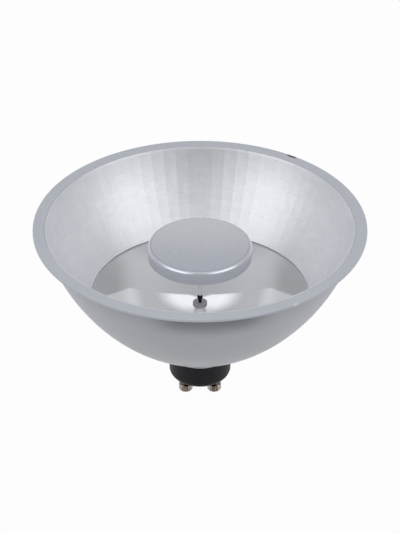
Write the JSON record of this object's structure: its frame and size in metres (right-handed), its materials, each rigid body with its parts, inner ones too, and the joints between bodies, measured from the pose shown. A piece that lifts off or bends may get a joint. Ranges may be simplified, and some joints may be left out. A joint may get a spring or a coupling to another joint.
{
  "type": "led spot bulb",
  "caption": "Mains LED reflector lamp: grey bowl with a flat rim, faceted satin and mirror reflectors, a silver glare cap on a thin stem and a black two-pin twist-lock base.",
  "frame": {"origin": "on the lamp's axis, level with the tips of the contact pins", "axes": "+Z along the lamp's axis to the light's exit, X through both contact pins, +Y away from the picture's camera"},
  "size_m": [0.111, 0.111, 0.0689],
  "materials": {
    "grey_paint": "grey paint, satin",
    "satin_aluminium": "satin, faceted",
    "mirror_aluminium": "bright anodised",
    "silver_paint": "silver paint, satin",
    "pad_silicone": "matt",
    "white_board": "white solder mask",
    "phosphor": "silicone over phosphor",
    "steel": "zinc plated",
    "polished_aluminium": "polished",
    "black_plastic": "fine matt",
    "nickel": "nickel plated",
    "copper_lead": "tinned",
    "green_board": "solder mask",
    "capacitor_sleeve": "sleeve",
    "ferrite": "matt",
    "film_case": "dipped",
    "resistor_body": "lacquered",
    "chip_case": "moulded",
    "red_sleeve": "sleeve",
    "black_sleeve": "sleeve"
  },
  "bodies": {
    "root": {"reflector_housing": "grey_paint", "satin_reflector": "satin_aluminium", "mirror_dish": "mirror_aluminium", "glare_cap": "silver_paint", "thermal_pad": "pad_silicone", "led_board": "white_board", "led_chips": "phosphor", "board_screws": "steel", "stem_post": "polished_aluminium", "stem_bush": "black_plastic", "stem_tube": "polished_aluminium", "stem_spacer": "polished_aluminium", "stem_nut": "steel", "lock_washer": "steel", "base_shell": "black_plastic", "base_screws": "steel", "live_pin": "nickel", "neutral_pin": "nickel", "live_lead": "copper_lead", "neutral_lead": "copper_lead", "driver_board": "green_board", "smoothing_capacitor": "capacitor_sleeve", "choke": "ferrite", "film_capacitor": "film_case", "fuse_resistor": "resistor_body", "bridge_rectifier": "chip_case", "driver_chip": "chip_case", "positive_lead": "red_sleeve", "negative_lead": "black_sleeve"}
  },
  "joints": []
}
